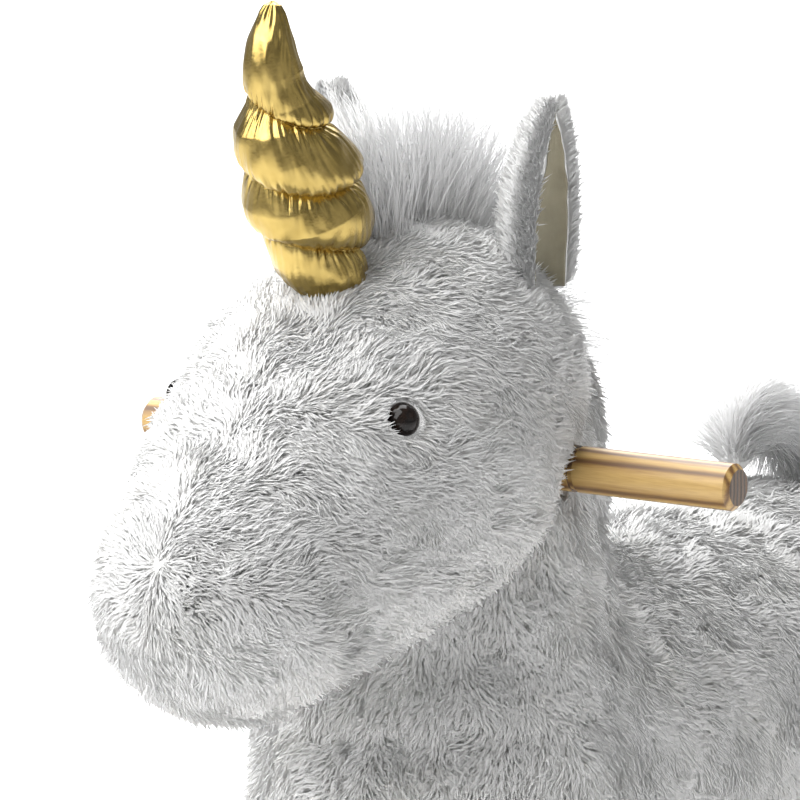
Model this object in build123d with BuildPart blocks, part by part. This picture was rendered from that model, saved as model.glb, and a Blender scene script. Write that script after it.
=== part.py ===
from build123d import *
import os
from math import acos, asin, cos, degrees, radians, sin

# Plush ride-on unicorn on wooden rockers.  Millimetres, +Z up, nose along -Y, its left side along +X.
# The origin lies on the floor, under the middle of the rockers.

# Rocker base
rocker_length = 700.0
rocker_radius = 900.0
rocker_depth = 62.0
rocker_thickness = 20.0
rocker_spacing = 190.0
rocker_end_round = 22.0
rocker_edge_round = 2.5
slat_seat_height = 60.0
slat_seat_margin = 12.0
slat_thickness = 16.0
slat_width = 90.0
slat_overhang = 10.0
slat_edge_round = 3.0
foot_rest_width = 60.0
foot_rest_length = 300.0
foot_rest_y = 55.0

# Handle bar, the point from which the head and neck are laid out
handle_y = -75.0
handle_height = 385.0
handle_diameter = 22.0
handle_length = 330.0
handle_chamfer = 2.5
handle_fit = 0.05
tie_groove_inner = 79.0
tie_groove_width = 3.0
tie_groove_depth = 1.0

# Wooden frame inside the body
leg_post_section = 26.0
neck_post_section = 36.0
neck_post_above_bar = 25.0
board_height = 215.0
board_thickness = 18.0
board_width = 150.0
board_corner = 34.0
board_front_share = 0.5
board_rear_share = 1.0 / 3.0

# Soft body: balls wrapped by one skin, each given as (station along the axis, radius)
cover_thickness = 6.0
head_tilt = 23.8
head_start_y = -20.0
head_start_z = 33.0
head_balls = [(0.0, 85.0), (50.0, 87.0), (165.0, 62.0)]
neck_lean_y = 12.0
neck_top_z = 5.0
torso_start_y = 8.0
torso_height = 228.0
torso_balls = [(0.0, 96.0), (277.0, 100.0)]
neck_foot_rise = 39.0
neck_balls = [(0.0, 76.0), (handle_height + neck_top_z - torso_height - neck_foot_rise, 86.0)]
leg_radius = 40.0
leg_spread = 50.0
leg_sole_round = 8.0
front_leg_y = -70.0
rear_leg_y = 180.0

# Eyes
eye_diameter = 16.0
eye_bulge = 4.0
eye_sink = 2.5
eye_station = 91.0
eye_angle = 52.0
eye_stem_diameter = 5.0
eye_stem_length = 13.0
eye_washer_diameter = 20.0
eye_washer_thickness = 1.6

# Ears
ear_x = 55.0
ear_y = -3.5
ear_height = 76.0
ear_half_width = 23.0
ear_base_share = 0.86
ear_belly_rise = 0.3
ear_shoulder_share = 0.66
ear_shoulder_rise = 0.72
ear_depth = 17.0
ear_turn = 20.0
ear_wall = 5.0
ear_lining = 1.5
ear_seam_radius = 3.0
ear_seam_lift = 3.5
ear_gap = 2.0

# Horn: balls up its centre line, each (y, z, radius) from the handle bar's centre
horn_balls = [
    (-97.0, 101.0, 25.0),
    (-99.0, 114.0, 22.0),
    (-105.0, 129.0, 27.0),
    (-114.0, 145.0, 22.0),
    (-123.0, 161.0, 25.0),
    (-129.0, 178.0, 16.5),
    (-135.0, 197.0, 15.0),
    (-134.0, 213.0, 8.0),
    (-132.5, 220.0, 5.0),
]
horn_wall = 3.0
horn_gap = 2.5
horn_thread_turns = (1, 3, 5)
horn_thread_radius = 1.2
horn_thread_tilt = 16.0

# Mane: plush strip along the crown and the nape
mane_width = 30.0
mane_nape_drop = torso_height - handle_height
mane_outline = [
    (-56.0, 60.0),
    (-62.0, 112.0),
    (-48.0, 156.0),
    (-8.0, 172.0),
    (48.0, 158.0),
    (92.0, 112.0),
    (118.0, 50.0),
    (128.0, mane_nape_drop + 137.0),
    (124.0, mane_nape_drop + 95.0),
    (60.0, mane_nape_drop + 117.0),
]

# Tail: a ball sewn to the rump, then a tuft on a stuffed core, each (y, z, radius) from the rump's centre
tail_root_y = 3.0
tail_root_z = 111.0
tail_root_radius = 9.0
tail_gap = 0.6
tail_core_radius = 6.0
tail_balls = [
    (-1.0, 127.0, 18.0),
    (20.0, 127.0, 25.0),
    (53.0, 119.0, 25.0),
    (85.0, 95.0, 22.0),
    (107.0, 62.0, 17.0),
    (117.0, 33.0, 9.0),
]

# Fasteners
screw_diameter = 4.4
screw_head_diameter = 9.0
screw_head_height = 3.0
screw_head_taper = 37.0
screw_drive_size = 2.6
screw_drive_depth = 1.8
slat_screw_length = 40.0
slat_screw_pitch = 50.0
foot_rest_screw_pitch = 32.0
seat_screw_length = 60.0
neck_screw_length = 65.0
neck_screw_pitch = 18.0
handle_screw_length = 30.0
bolt_diameter = 8.0
bolt_length = 50.0
bolt_head_size = 13.0
bolt_head_height = 5.3
washer_diameter = 16.0
washer_thickness = 1.6
insert_diameter = 12.0
insert_length = 15.0
insert_depth = 12.0

# Places worked out from the sizes above
slat_top = slat_seat_height + slat_thickness
board_top = board_height + board_thickness
slat_length = rocker_spacing + rocker_thickness + 2 * slat_overhang
board_front_y = handle_y + torso_start_y - torso_balls[0][1] * board_front_share
board_rear_y = handle_y + torso_start_y + torso_balls[-1][0] + torso_balls[-1][1] * board_rear_share
post_places = [
    ("front_left", leg_spread, front_leg_y),
    ("front_right", -leg_spread, front_leg_y),
    ("rear_left", leg_spread, rear_leg_y),
    ("rear_right", -leg_spread, rear_leg_y),
]
head_axis = Vector(0, -cos(radians(head_tilt)), -sin(radians(head_tilt)))
head_up = Vector(0, -sin(radians(head_tilt)), cos(radians(head_tilt)))
head_start = Vector(0, handle_y + head_start_y, handle_height + head_start_z)
head_plane = Plane(origin=head_start, x_dir=head_axis, z_dir=(1, 0, 0))
neck_plane = Plane(
    origin=(0, handle_y + neck_lean_y, handle_height + neck_top_z), x_dir=(0, 0, -1), z_dir=(1, 0, 0)
)
torso_plane = Plane(origin=(0, handle_y + torso_start_y, torso_height), x_dir=(0, 1, 0), z_dir=(1, 0, 0))
handle_centre = Vector(0, handle_y, handle_height)
rump_centre = torso_plane.origin + Vector(0, torso_balls[-1][0], 0)


def from_handle(x, y, z):
    """A point given from the handle bar's centre, as a point of the whole model."""
    return handle_centre + Vector(x, y, z)


def wrapped_balls(plane, balls, inset=0.0):
    """One smooth skin of revolution around a row of balls on the plane's x axis, drawn in by inset."""
    with BuildPart() as body:
        with BuildSketch(plane):
            with BuildLine():
                angle = 180.0
                for (near, near_radius), (far, far_radius) in zip(balls, balls[1:]):
                    contact = degrees(acos((near_radius - far_radius) / (far - near)))
                    lift = Vector(cos(radians(contact)), sin(radians(contact)))
                    CenterArc((near, 0), near_radius - inset, angle, contact - angle)
                    Line(
                        Vector(near, 0) + lift * (near_radius - inset),
                        Vector(far, 0) + lift * (far_radius - inset),
                    )
                    angle = contact
                last, last_radius = balls[-1]
                first, first_radius = balls[0]
                CenterArc((last, 0), last_radius - inset, angle, -angle)
                Line((last + last_radius - inset, 0), (first - first_radius + inset, 0))
            make_face()
        revolve(axis=Axis(plane.origin, plane.x_dir))
    return body.part


def chained_balls(origin, balls, inset=0.0):
    """Tapered links between the balls of a curved row, each ball given as (y, z, radius) from origin."""
    with BuildPart() as chain:
        for (y_a, z_a, radius_a), (y_b, z_b, radius_b) in zip(balls, balls[1:]):
            start = origin + Vector(0, y_a, z_a)
            step = Vector(0, y_b - y_a, z_b - z_a)
            plane = Plane(origin=start, x_dir=step.normalized(), z_dir=(1, 0, 0))
            add(wrapped_balls(plane, [(0, radius_a), (step.length, radius_b)], inset))
    return chain.part


def countersunk_screws(planes, length, drive=True):
    """Wood screws driven along each plane's -z, flat heads level with it; without drive, their holes."""
    with BuildPart() as screws:
        for plane in planes:
            with BuildSketch(plane):
                Circle(screw_diameter / 2)
            extrude(amount=-length)
            with BuildSketch(plane):
                Circle(screw_head_diameter / 2)
            extrude(amount=-screw_head_height, taper=screw_head_taper)
            if drive:
                with BuildSketch(plane):
                    RegularPolygon(screw_drive_size, 6)
                extrude(amount=-screw_drive_depth, mode=Mode.SUBTRACT)
    return screws


def save(piece, name):
    """Label a finished piece and write it under its own name."""
    piece.part.label = name
    export_step(piece.part, f"parts/{name}.step")


os.makedirs("parts", exist_ok=True)

# ---- Fasteners -------------------------------------------------------------------------------------

slat_places = [
    ("front_slat", front_leg_y, slat_length, slat_width, slat_screw_pitch),
    ("rear_slat", rear_leg_y, slat_length, slat_width, slat_screw_pitch),
    ("foot_rest", foot_rest_y, foot_rest_length, foot_rest_width, foot_rest_screw_pitch),
]
slat_screw_planes = [
    Plane(origin=(side * rocker_spacing / 2, y + end * pitch / 2, slat_top))
    for slat, y, length, width, pitch in slat_places
    for side in (-1, 1)
    for end in (-1, 1)
]
seat_screw_planes = [Plane(origin=(x, y, board_top)) for name, x, y in post_places]
neck_screw_planes = [
    Plane(origin=(side * neck_screw_pitch / 2, handle_y, board_height), z_dir=(0, 0, -1)) for side in (-1, 1)
]
handle_screw_planes = [Plane(origin=(0, handle_y + neck_post_section / 2, handle_height), z_dir=(0, 1, 0))]

screw_holes = {}
for name, planes, length in (
    ("slat_screws", slat_screw_planes, slat_screw_length),
    ("seat_screws", seat_screw_planes, seat_screw_length),
    ("neck_screws", neck_screw_planes, neck_screw_length),
    ("handle_screw", handle_screw_planes, handle_screw_length),
):
    save(countersunk_screws(planes, length), name)
    screw_holes[name] = countersunk_screws(planes, length, drive=False).part

with BuildPart() as leg_washers:
    for name, x, y in post_places:
        with BuildSketch(Plane(origin=(x, y, slat_seat_height - washer_thickness))):
            Circle(washer_diameter / 2)
            Circle(bolt_diameter / 2, mode=Mode.SUBTRACT)
        extrude(amount=washer_thickness)
save(leg_washers, "leg_washers")

with BuildPart() as leg_bolts:
    for name, x, y in post_places:
        with BuildSketch(Plane(origin=(x, y, slat_seat_height - washer_thickness))):
            RegularPolygon(bolt_head_size / 2, 6, major_radius=False)
        extrude(amount=-bolt_head_height)
        with BuildSketch(Plane(origin=(x, y, slat_seat_height - washer_thickness))):
            Circle(bolt_diameter / 2)
        extrude(amount=bolt_length)
save(leg_bolts, "leg_bolts")

with BuildPart() as leg_inserts:
    for name, x, y in post_places:
        with BuildSketch(Plane(origin=(x, y, slat_top + insert_depth))):
            Circle(insert_diameter / 2)
            Circle(bolt_diameter / 2, mode=Mode.SUBTRACT)
        extrude(amount=insert_length)
save(leg_inserts, "leg_inserts")

# ---- Rockers, slats and foot rest ------------------------------------------------------------------

seat_front = front_leg_y - slat_width / 2 - slat_seat_margin
seat_rear = rear_leg_y + slat_width / 2 + slat_seat_margin
for name, side in (("rocker_left", 1), ("rocker_right", -1)):
    with BuildPart() as rocker:
        with BuildSketch(Plane.YZ.offset(side * rocker_spacing / 2 - rocker_thickness / 2)) as rail:
            with Locations((0, rocker_radius)):
                Circle(rocker_radius)
                Circle(rocker_radius - rocker_depth, mode=Mode.SUBTRACT)
            Rectangle(rocker_length, rocker_radius, mode=Mode.INTERSECT)
            fillet(rail.vertices(), radius=rocker_end_round)
            with Locations(((seat_front + seat_rear) / 2, slat_seat_height)):
                Rectangle(
                    seat_rear - seat_front, rocker_depth, align=(Align.CENTER, Align.MIN), mode=Mode.SUBTRACT
                )
        extrude(amount=rocker_thickness)
        chamfer(rocker.faces().sort_by(Axis.X)[0].edges(), length=rocker_edge_round)
        chamfer(rocker.faces().sort_by(Axis.X)[-1].edges(), length=rocker_edge_round)
        add(screw_holes["slat_screws"], mode=Mode.SUBTRACT)
    save(rocker, name)

for name, y, length, width, pitch in slat_places:
    with BuildPart() as slat:
        with BuildSketch(Plane(origin=(0, y, slat_seat_height))):
            Rectangle(length, width)
        extrude(amount=slat_thickness)
        fillet(slat.edges(), radius=slat_edge_round)
        add(screw_holes["slat_screws"], mode=Mode.SUBTRACT)
        add(leg_bolts.part, mode=Mode.SUBTRACT)
    save(slat, name)

# ---- Wooden frame inside the body, and the handle bar ----------------------------------------------

with BuildPart() as board_blank:
    with BuildSketch(Plane(origin=(0, (board_front_y + board_rear_y) / 2, board_height))):
        RectangleRounded(board_width, board_rear_y - board_front_y, board_corner)
    extrude(amount=board_thickness)

with BuildPart() as seat_board:
    add(board_blank.part)
    add(screw_holes["seat_screws"], mode=Mode.SUBTRACT)
    add(screw_holes["neck_screws"], mode=Mode.SUBTRACT)
save(seat_board, "seat_board")

leg_post_blanks = []
for name, x, y in post_places:
    with BuildPart() as leg_post_blank:
        with BuildSketch(Plane(origin=(x, y, slat_top))):
            Rectangle(leg_post_section, leg_post_section)
        extrude(amount=board_height - slat_top)
    leg_post_blanks.append(leg_post_blank.part)
    with BuildPart() as leg_post:
        add(leg_post_blank.part)
        for solid in (screw_holes["seat_screws"], leg_bolts.part, leg_inserts.part):
            add(solid, mode=Mode.SUBTRACT)
    save(leg_post, f"leg_post_{name}")

handle_plane = Plane.YZ.shift_origin((0, handle_y, handle_height))
with BuildPart() as handle_dowel:
    with BuildSketch(handle_plane.offset(-handle_length / 2)):
        Circle(handle_diameter / 2)
    extrude(amount=handle_length)
    ends = handle_dowel.edges().filter_by(GeomType.CIRCLE).sort_by(Axis.X)
    chamfer([ends[0], ends[-1]], length=handle_chamfer)
    for groove_start in (tie_groove_inner, -tie_groove_inner - tie_groove_width):
        with BuildSketch(handle_plane.offset(groove_start)):
            Circle(handle_diameter / 2)
            Circle(handle_diameter / 2 - tie_groove_depth, mode=Mode.SUBTRACT)
        extrude(amount=tie_groove_width, mode=Mode.SUBTRACT)
    add(screw_holes["handle_screw"], mode=Mode.SUBTRACT)
save(handle_dowel, "handle_dowel")

with BuildPart() as handle_bore:
    with BuildSketch(handle_plane.offset(-handle_length / 2)):
        Circle(handle_diameter / 2 + handle_fit)
    extrude(amount=handle_length)

with BuildPart() as neck_post_blank:
    with BuildSketch(Plane(origin=(0, handle_y, board_top))):
        Rectangle(neck_post_section, neck_post_section)
    extrude(amount=handle_height + neck_post_above_bar - board_top)

with BuildPart() as neck_post:
    add(neck_post_blank.part)
    add(handle_bore.part, mode=Mode.SUBTRACT)
    add(screw_holes["neck_screws"], mode=Mode.SUBTRACT)
    add(screw_holes["handle_screw"], mode=Mode.SUBTRACT)
save(neck_post, "neck_post")

wooden_frame = [neck_post_blank.part, board_blank.part] + leg_post_blanks

# ---- Skins and their hollows -----------------------------------------------------------------------

head_skin = wrapped_balls(head_plane, head_balls)
head_hollow = wrapped_balls(head_plane, head_balls, cover_thickness)
neck_skin = wrapped_balls(neck_plane, neck_balls)
neck_hollow = wrapped_balls(neck_plane, neck_balls, cover_thickness)
torso_skin = wrapped_balls(torso_plane, torso_balls)
torso_hollow = wrapped_balls(torso_plane, torso_balls, cover_thickness)


def leg_column(x, y, inset):
    """A leg from the slat up into the body, drawn in by inset all round and at its sole."""
    with BuildPart() as column:
        with BuildSketch(Plane(origin=(x, y, slat_top + inset))):
            Circle(leg_radius - inset)
        extrude(amount=board_height - slat_top - inset)
        fillet(column.faces().sort_by(Axis.Z)[0].edges(), radius=leg_sole_round)
    return column.part


leg_skins = [leg_column(x, y, 0.0) for name, x, y in post_places]
leg_hollows = [leg_column(x, y, cover_thickness) for name, x, y in post_places]

# ---- Eyes ------------------------------------------------------------------------------------------

(cheek_near, cheek_near_radius), (cheek_far, cheek_far_radius) = head_balls[1:]
cheek_slope = (cheek_near_radius - cheek_far_radius) / (cheek_far - cheek_near)
cheek_cosine = cos(asin(cheek_slope))
eye_radius = (cheek_near_radius - (eye_station - cheek_near) * cheek_slope) / cheek_cosine

eye_dome_height = eye_sink + eye_bulge
eye_dome_radius = (eye_dome_height**2 + (eye_diameter / 2) ** 2) / (2 * eye_dome_height)

eyes = []
eye_washers = []
for name, side in (("left", 1), ("right", -1)):
    outward = Vector(side * sin(radians(eye_angle)), 0, 0) + head_up * cos(radians(eye_angle))
    normal = head_axis * cheek_slope + outward * cheek_cosine
    eye_plane = Plane(origin=head_start + head_axis * eye_station + outward * eye_radius, z_dir=normal)
    with BuildPart() as eye:
        with BuildSketch(Plane(origin=eye_plane.origin, x_dir=normal, z_dir=head_axis.cross(outward))):
            with BuildLine():
                RadiusArc((-eye_sink, eye_diameter / 2), (eye_bulge, 0), eye_dome_radius)
                Polyline(
                    (eye_bulge, 0),
                    (-eye_stem_length, 0),
                    (-eye_stem_length, eye_stem_diameter / 2),
                    (-eye_sink, eye_stem_diameter / 2),
                    (-eye_sink, eye_diameter / 2),
                )
            make_face()
        revolve(axis=Axis(eye_plane.origin, normal))
    save(eye, f"eye_{name}")
    eyes.append(eye)
    with BuildPart() as eye_washer:
        with BuildSketch(eye_plane.offset(-cover_thickness - eye_washer_thickness)):
            Circle(eye_washer_diameter / 2)
            Circle(eye_stem_diameter / 2, mode=Mode.SUBTRACT)
        extrude(amount=eye_washer_thickness)
    save(eye_washer, f"eye_washer_{name}")
    eye_washers.append(eye_washer)

# ---- Covers and stuffing ---------------------------------------------------------------------------

with BuildPart() as head_cover:
    add(head_skin)
    add(head_hollow, mode=Mode.SUBTRACT)
    add(neck_hollow, mode=Mode.SUBTRACT)
    add(handle_bore.part, mode=Mode.SUBTRACT)
    for piece in eyes + eye_washers:
        add(piece.part, mode=Mode.SUBTRACT)
save(head_cover, "head_cover")

with BuildPart() as head_stuffing:
    add(head_hollow)
    for piece in eyes + eye_washers + [handle_bore, neck_post_blank]:
        add(piece.part, mode=Mode.SUBTRACT)
save(head_stuffing, "head_stuffing")

with BuildPart() as neck_cover:
    add(neck_skin)
    for solid in (neck_hollow, head_skin, torso_skin, handle_bore.part):
        add(solid, mode=Mode.SUBTRACT)
save(neck_cover, "neck_cover")

with BuildPart() as neck_stuffing:
    add(neck_hollow)
    for solid in (head_hollow, torso_hollow, handle_bore.part, neck_post_blank.part):
        add(solid, mode=Mode.SUBTRACT)
save(neck_stuffing, "neck_stuffing")

with BuildPart() as torso_cover:
    add(torso_skin)
    for solid in [torso_hollow, neck_hollow] + leg_hollows:
        add(solid, mode=Mode.SUBTRACT)
save(torso_cover, "torso_cover")

with BuildPart() as torso_stuffing:
    add(torso_hollow)
    for solid in wooden_frame:
        add(solid, mode=Mode.SUBTRACT)
save(torso_stuffing, "torso_stuffing")

for (name, x, y), skin, hollow, post in zip(post_places, leg_skins, leg_hollows, leg_post_blanks):
    with BuildPart() as leg_cover:
        add(skin)
        for solid in (hollow, torso_skin, post):
            add(solid, mode=Mode.SUBTRACT)
    save(leg_cover, f"leg_cover_{name}")
    with BuildPart() as leg_stuffing:
        add(hollow)
        for solid in (torso_hollow, post):
            add(solid, mode=Mode.SUBTRACT)
    save(leg_stuffing, f"leg_stuffing_{name}")

# ---- Ears ------------------------------------------------------------------------------------------

ear_seat = from_handle(ear_x, ear_y, 0)
ear_rise = head_balls[0][1] ** 2 - ear_seat.X**2 - (ear_seat.Y - head_start.Y) ** 2
ear_seat = Vector(ear_seat.X, ear_seat.Y, head_start.Z + ear_rise**0.5)
ear_seat += (ear_seat - head_start).normalized() * ear_seam_lift
ear_clearance = wrapped_balls(head_plane, head_balls, -ear_gap)


for name, side in (("left", 1), ("right", -1)):
    opening = Vector(side * cos(radians(ear_turn)), sin(radians(ear_turn)), 0)
    base = Plane(origin=(side * ear_seat.X, ear_seat.Y, ear_seat.Z), x_dir=opening, z_dir=(0, 0, 1))
    seam = base.y_dir
    front = Plane(origin=base.origin, x_dir=seam, z_dir=opening)
    with BuildPart() as ear_leaf:
        with BuildSketch(front):
            with BuildLine():
                Spline(
                    (-ear_half_width * ear_base_share, 0),
                    (-ear_half_width, ear_height * ear_belly_rise),
                    (-ear_half_width * ear_shoulder_share, ear_height * ear_shoulder_rise),
                    (0, ear_height),
                )
                Spline(
                    (0, ear_height),
                    (ear_half_width * ear_shoulder_share, ear_height * ear_shoulder_rise),
                    (ear_half_width, ear_height * ear_belly_rise),
                    (ear_half_width * ear_base_share, 0),
                )
                Line((ear_half_width * ear_base_share, 0), (-ear_half_width * ear_base_share, 0))
            make_face()
        extrude(amount=-ear_depth)
    shells = []
    for outer, inner in ((0.0, ear_wall), (ear_wall, ear_wall + ear_lining)):
        with BuildPart() as shell:
            with BuildSketch(base):
                Ellipse(ear_depth - outer, ear_half_width - outer)
                Ellipse(ear_depth - inner, ear_half_width - inner, mode=Mode.SUBTRACT)
                Rectangle(
                    ear_depth, 2 * ear_half_width, align=(Align.MIN, Align.CENTER), mode=Mode.SUBTRACT
                )
            extrude(amount=ear_height)
            add(ear_leaf.part, mode=Mode.INTERSECT)
            add(ear_clearance, mode=Mode.SUBTRACT)
        shells.append(shell)
    with BuildPart() as ear_cover:
        add(shells[0].part)
        with BuildSketch(Plane(origin=base.origin - seam * ear_half_width * ear_base_share, z_dir=seam)):
            Circle(ear_seam_radius)
        extrude(amount=2 * ear_half_width * ear_base_share)
    save(ear_cover, f"ear_cover_{name}")
    with BuildPart() as ear_lining_piece:
        add(shells[1].part)
        add(ear_cover.part, mode=Mode.SUBTRACT)
    save(ear_lining_piece, f"ear_lining_{name}")

# ---- Horn ------------------------------------------------------------------------------------------

with BuildPart() as horn_thread:
    for turn in horn_thread_turns:
        y, z, radius = horn_balls[turn]
        step = from_handle(0, *horn_balls[turn + 1][:2]) - from_handle(0, *horn_balls[turn - 1][:2])
        across = step.normalized().rotate(Axis.Y, horn_thread_tilt)
        with Locations(Plane(origin=from_handle(0, y, z), z_dir=across)):
            Torus(radius / cos(radians(horn_thread_tilt)), horn_thread_radius)
save(horn_thread, "horn_thread")

horn_clearance = wrapped_balls(head_plane, head_balls, -horn_gap)
with BuildPart() as horn_stuffing:
    add(chained_balls(handle_centre, horn_balls, horn_wall))
    add(wrapped_balls(head_plane, head_balls, -horn_gap - horn_wall), mode=Mode.SUBTRACT)
    add(horn_thread.part, mode=Mode.SUBTRACT)
save(horn_stuffing, "horn_stuffing")

with BuildPart() as horn_cover:
    add(chained_balls(handle_centre, horn_balls))
    add(horn_clearance, mode=Mode.SUBTRACT)
    add(horn_stuffing.part, mode=Mode.SUBTRACT)
    add(horn_thread.part, mode=Mode.SUBTRACT)
save(horn_cover, "horn_cover")

# ---- Mane ------------------------------------------------------------------------------------------

with BuildPart() as mane:
    with BuildSketch(Plane.YZ.offset(-mane_width / 2)):
        with BuildLine():
            points = [(handle_y + y, handle_height + z) for y, z in mane_outline]
            Spline(points[1:-1])
            Polyline(points[-2], points[-1], points[0], points[1])
        make_face()
    extrude(amount=mane_width)
    for solid in (head_skin, neck_skin, torso_skin):
        add(solid, mode=Mode.SUBTRACT)
save(mane, "mane")

# ---- Tail ------------------------------------------------------------------------------------------

tail_pivot = rump_centre + Vector(0, tail_root_y, tail_root_z)
with BuildPart() as tail_root:
    with Locations(tail_pivot):
        Sphere(tail_root_radius)
save(tail_root, "tail_root")

with BuildPart() as tail_core:
    add(chained_balls(rump_centre, [(y, z, tail_core_radius) for y, z, radius in tail_balls[:-1]]))
    with Locations(tail_pivot):
        Sphere(tail_root_radius + tail_gap, mode=Mode.SUBTRACT)
save(tail_core, "tail_core")

with BuildPart() as tail_tuft:
    add(chained_balls(rump_centre, tail_balls))
    with Locations(tail_pivot):
        Sphere(tail_root_radius + tail_gap, mode=Mode.SUBTRACT)
    add(tail_core.part, mode=Mode.SUBTRACT)
save(tail_tuft, "tail_tuft")
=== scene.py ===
from math import cos, pi, radians, sin

import bpy
import numpy as np
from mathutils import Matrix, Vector
from mathutils.kdtree import KDTree


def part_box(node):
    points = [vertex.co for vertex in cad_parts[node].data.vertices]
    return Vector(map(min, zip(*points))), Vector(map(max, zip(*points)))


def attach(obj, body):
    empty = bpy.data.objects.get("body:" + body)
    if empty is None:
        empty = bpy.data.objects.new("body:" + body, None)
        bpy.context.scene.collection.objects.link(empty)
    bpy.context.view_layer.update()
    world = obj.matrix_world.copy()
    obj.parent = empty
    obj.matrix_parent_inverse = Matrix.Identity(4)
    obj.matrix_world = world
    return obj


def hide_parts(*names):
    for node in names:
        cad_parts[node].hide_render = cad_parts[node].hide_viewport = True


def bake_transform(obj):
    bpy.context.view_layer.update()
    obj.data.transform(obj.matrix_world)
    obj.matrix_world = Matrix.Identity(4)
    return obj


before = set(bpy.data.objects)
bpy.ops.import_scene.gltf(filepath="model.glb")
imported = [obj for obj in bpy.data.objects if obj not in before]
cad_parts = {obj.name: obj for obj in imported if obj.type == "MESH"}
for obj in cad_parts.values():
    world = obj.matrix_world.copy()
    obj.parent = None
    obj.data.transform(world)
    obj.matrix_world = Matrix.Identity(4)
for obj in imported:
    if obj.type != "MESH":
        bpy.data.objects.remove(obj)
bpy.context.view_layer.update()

MM = 0.001
UP = np.array([0.0, 0.0, 1.0])

# ---- Places read from the frame --------------------------------------------------------------------


def middle(node):
    """The centre of a CAD node's box."""
    low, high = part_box(node)
    return (np.array(low) + np.array(high)) / 2


handle = middle("handle_dowel")
handle_low, handle_high = (np.array(corner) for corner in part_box("handle_dowel"))
handle_radius = (handle_high[2] - handle_low[2]) / 2
slat_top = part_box("front_slat")[1][2]
leg_names = ["front_left", "front_right", "rear_left", "rear_right"]


def from_handle(x, y, z):
    """A place given in millimetres from the middle of the handle bar."""
    return handle + np.array([x, y, z]) * MM


def unit(v):
    """Vectors scaled to length one."""
    v = np.asarray(v, float)
    return v / np.maximum(np.linalg.norm(v, axis=-1, keepdims=True), 1e-12)


# ---- Camera, light and floor -----------------------------------------------------------------------

camera_azimuth = radians(33.0)
camera_elevation = radians(10.0)
camera_distance = 2.6
view_width = 0.379
sensor = 36.0
aim_left, aim_up = 0.0166, 0.0246
toward_camera = np.array(
    [
        sin(camera_azimuth) * cos(camera_elevation),
        -cos(camera_azimuth) * cos(camera_elevation),
        sin(camera_elevation),
    ]
)
camera_right = unit(np.cross(UP, toward_camera))
camera_up = np.cross(toward_camera, camera_right)


def add_camera():
    """A long lens on the head and shoulders, as the toy is usually pictured."""
    aim = handle - aim_left * camera_right + aim_up * camera_up
    data = bpy.data.cameras.new("camera")
    data.sensor_width = sensor
    data.lens = sensor * camera_distance / view_width
    data.clip_end = 50.0
    camera = bpy.data.objects.new("camera", data)
    bpy.context.scene.collection.objects.link(camera)
    camera.location = Vector(aim + toward_camera * camera_distance)
    camera.rotation_euler = Vector(toward_camera).to_track_quat("Z", "Y").to_euler()
    bpy.context.scene.camera = camera


def add_light(name, target, direction, distance, size, power):
    """A soft square lamp that looks at a target from the given direction."""
    data = bpy.data.lights.new(name, "AREA")
    data.size = size
    data.energy = power
    lamp = bpy.data.objects.new(name, data)
    lamp.visible_camera = False
    bpy.context.scene.collection.objects.link(lamp)
    lamp.location = Vector(target + unit(direction) * distance)
    lamp.rotation_euler = Vector(unit(direction)).to_track_quat("Z", "Y").to_euler()


def add_studio():
    """A wide pale floor, a key lamp from the upper left, soft fills, and a lamp over the floor behind."""
    half = 14.0
    corners = [(-half, -half, 0), (half, -half, 0), (half, half, 0), (-half, half, 0)]
    away = unit(-toward_camera * [1, 1, 0])
    mesh = bpy.data.meshes.new("studio_floor")
    mesh.from_pydata(corners, [], [(0, 1, 2, 3)])
    floor = bpy.data.objects.new("studio_floor", mesh)
    bpy.context.scene.collection.objects.link(floor)
    mesh.materials.append(floor_material())

    left = -camera_right
    add_light("key", handle, 0.85 * left + 0.5 * toward_camera + 1.0 * UP, 2.2, 2.6, 112.0)
    add_light("fill", handle, 0.9 * camera_right + 0.6 * toward_camera + 0.35 * UP, 2.4, 1.8, 3.0)
    add_light("top", handle, 0.1 * left - 0.5 * toward_camera + 1.4 * UP, 1.9, 1.6, 50.0)
    add_light("backdrop", away * 4.8, 0.1 * away + UP, 3.2, 5.0, 390.0)

    world = bpy.data.worlds.new("studio")
    world.use_nodes = True
    nodes, links = world.node_tree.nodes, world.node_tree.links
    background = nodes["Background"]
    background.inputs["Strength"].default_value = 0.44
    place = nodes.new("ShaderNodeTexCoord")
    split = nodes.new("ShaderNodeSeparateXYZ")
    ramp = nodes.new("ShaderNodeValToRGB")
    band = ramp.color_ramp
    for position, tone in ((0.30, 0.36), (0.49, 1.0), (0.54, 1.0), (0.70, 0.50)):
        stop = band.elements.new(position)
        stop.color = (tone, tone, tone, 1)
    band.elements[0].color = (0.36, 0.36, 0.36, 1)
    band.elements[-1].color = (0.60, 0.60, 0.60, 1)
    lift = nodes.new("ShaderNodeMath")
    lift.operation = "MULTIPLY_ADD"
    lift.inputs[1].default_value = 0.5
    lift.inputs[2].default_value = 0.5
    links.new(place.outputs["Generated"], split.inputs[0])
    links.new(split.outputs["Z"], lift.inputs[0])
    links.new(lift.outputs[0], ramp.inputs[0])
    links.new(ramp.outputs[0], background.inputs["Color"])
    bpy.context.scene.world = world
    bpy.context.scene.view_settings.view_transform = "Standard"


# ---- Materials -------------------------------------------------------------------------------------


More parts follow.
